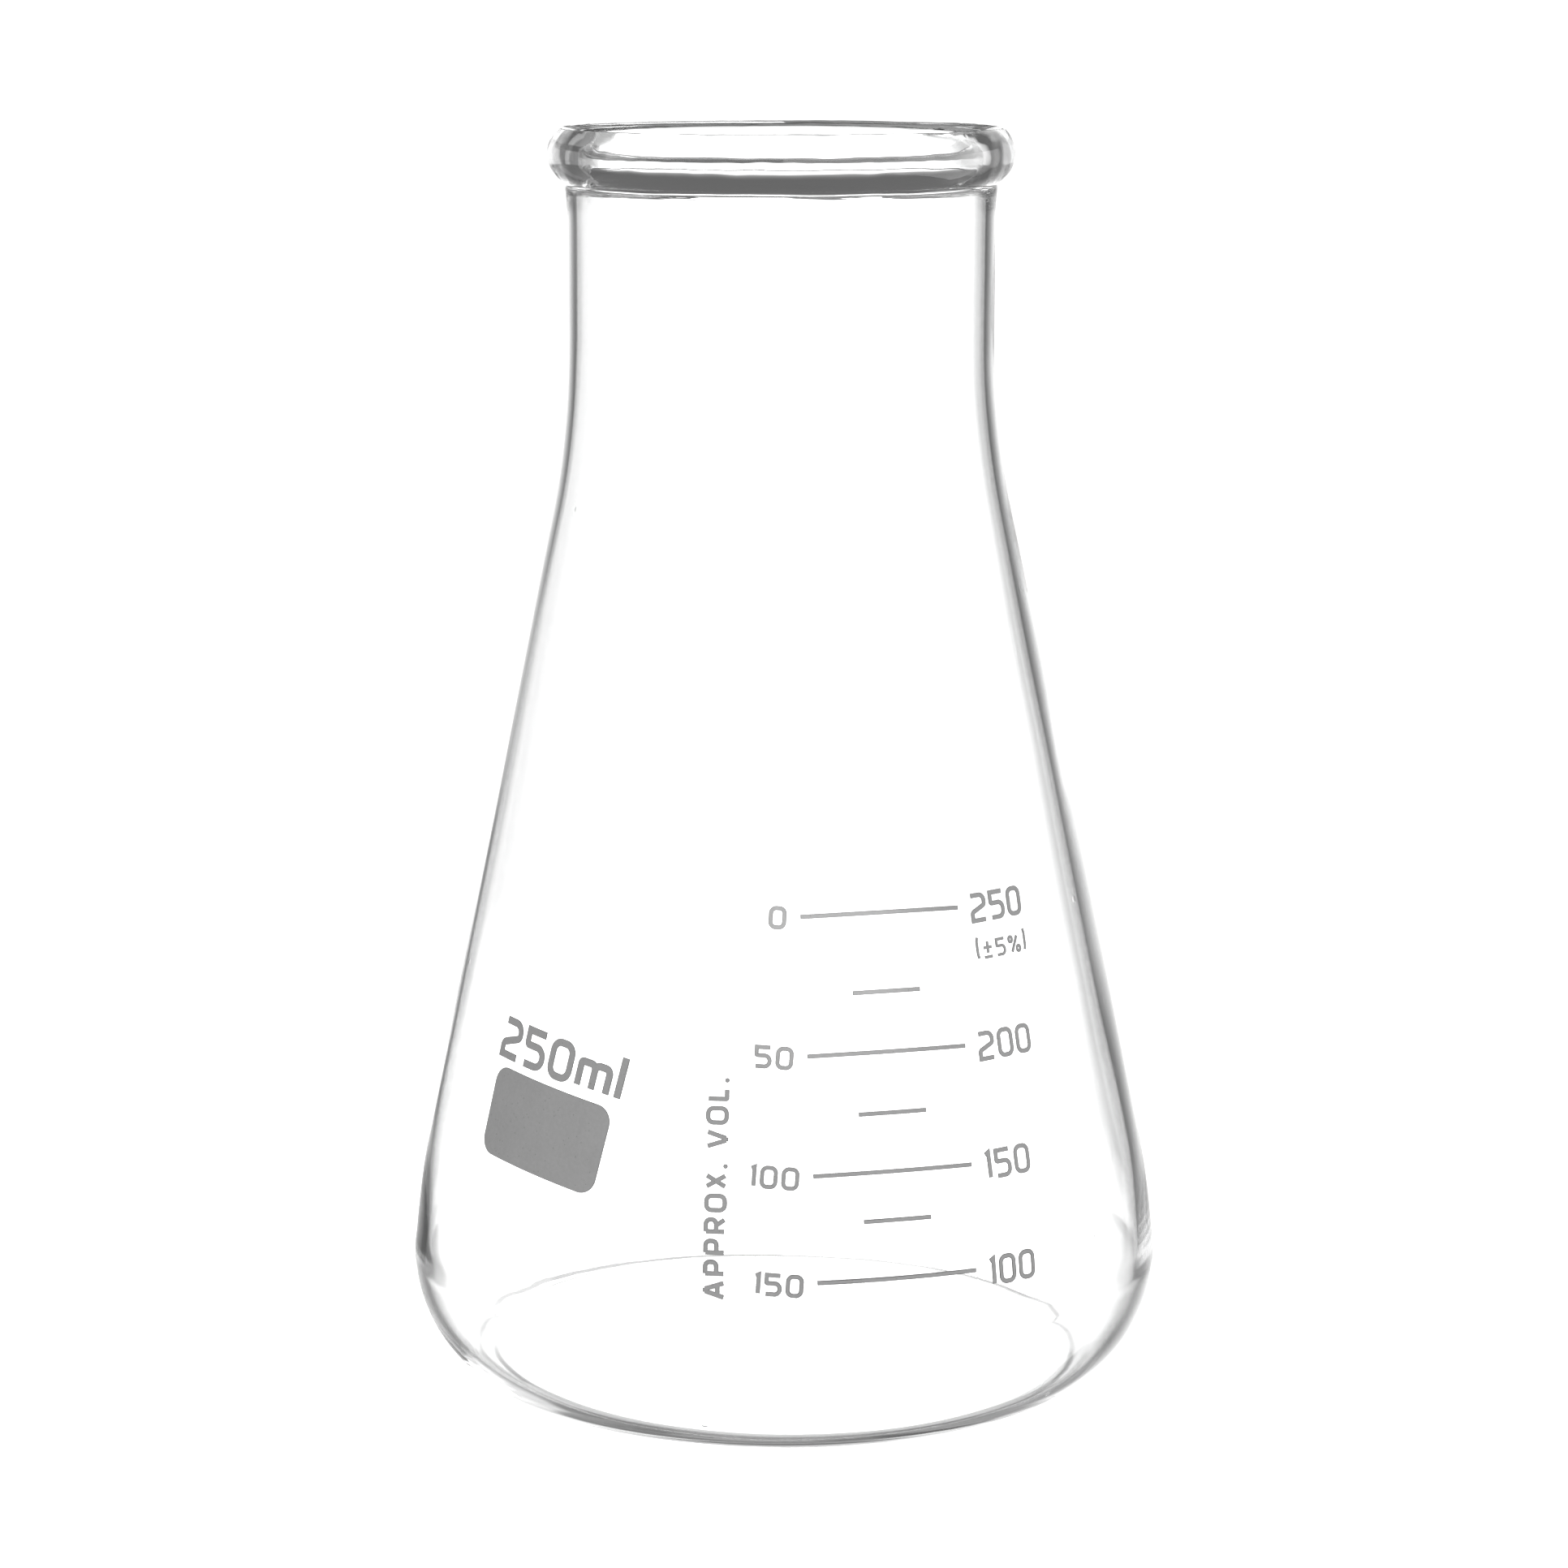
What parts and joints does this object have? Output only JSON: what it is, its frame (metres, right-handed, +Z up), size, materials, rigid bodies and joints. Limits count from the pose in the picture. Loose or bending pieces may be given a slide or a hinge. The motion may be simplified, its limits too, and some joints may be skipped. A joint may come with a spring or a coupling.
{
  "type": "wide mouth erlenmeyer flask",
  "caption": "Clear glass conical laboratory flask with a straight wide neck, a beaded rim and a grey enamel scale, marking spot and capacity mark",
  "frame": {"origin": "centre of the standing ring, on the bench", "axes": "+Z up along the axis of the neck, -Y towards the printed front, +X to the right"},
  "size_m": [0.0846, 0.0846, 0.14],
  "materials": {
    "clear_glass": "clear fire-polished borosilicate glass",
    "enamel": "mid grey fired enamel print, satin"
  },
  "bodies": {
    "root": {"glass_flask": "clear_glass", "marking_spot": "enamel", "graduation_lines": "enamel", "volume_numerals": "enamel", "remainder_numerals": "enamel", "tolerance_mark": "enamel", "capacity_mark": "enamel", "scale_legend": "enamel"}
  },
  "joints": []
}
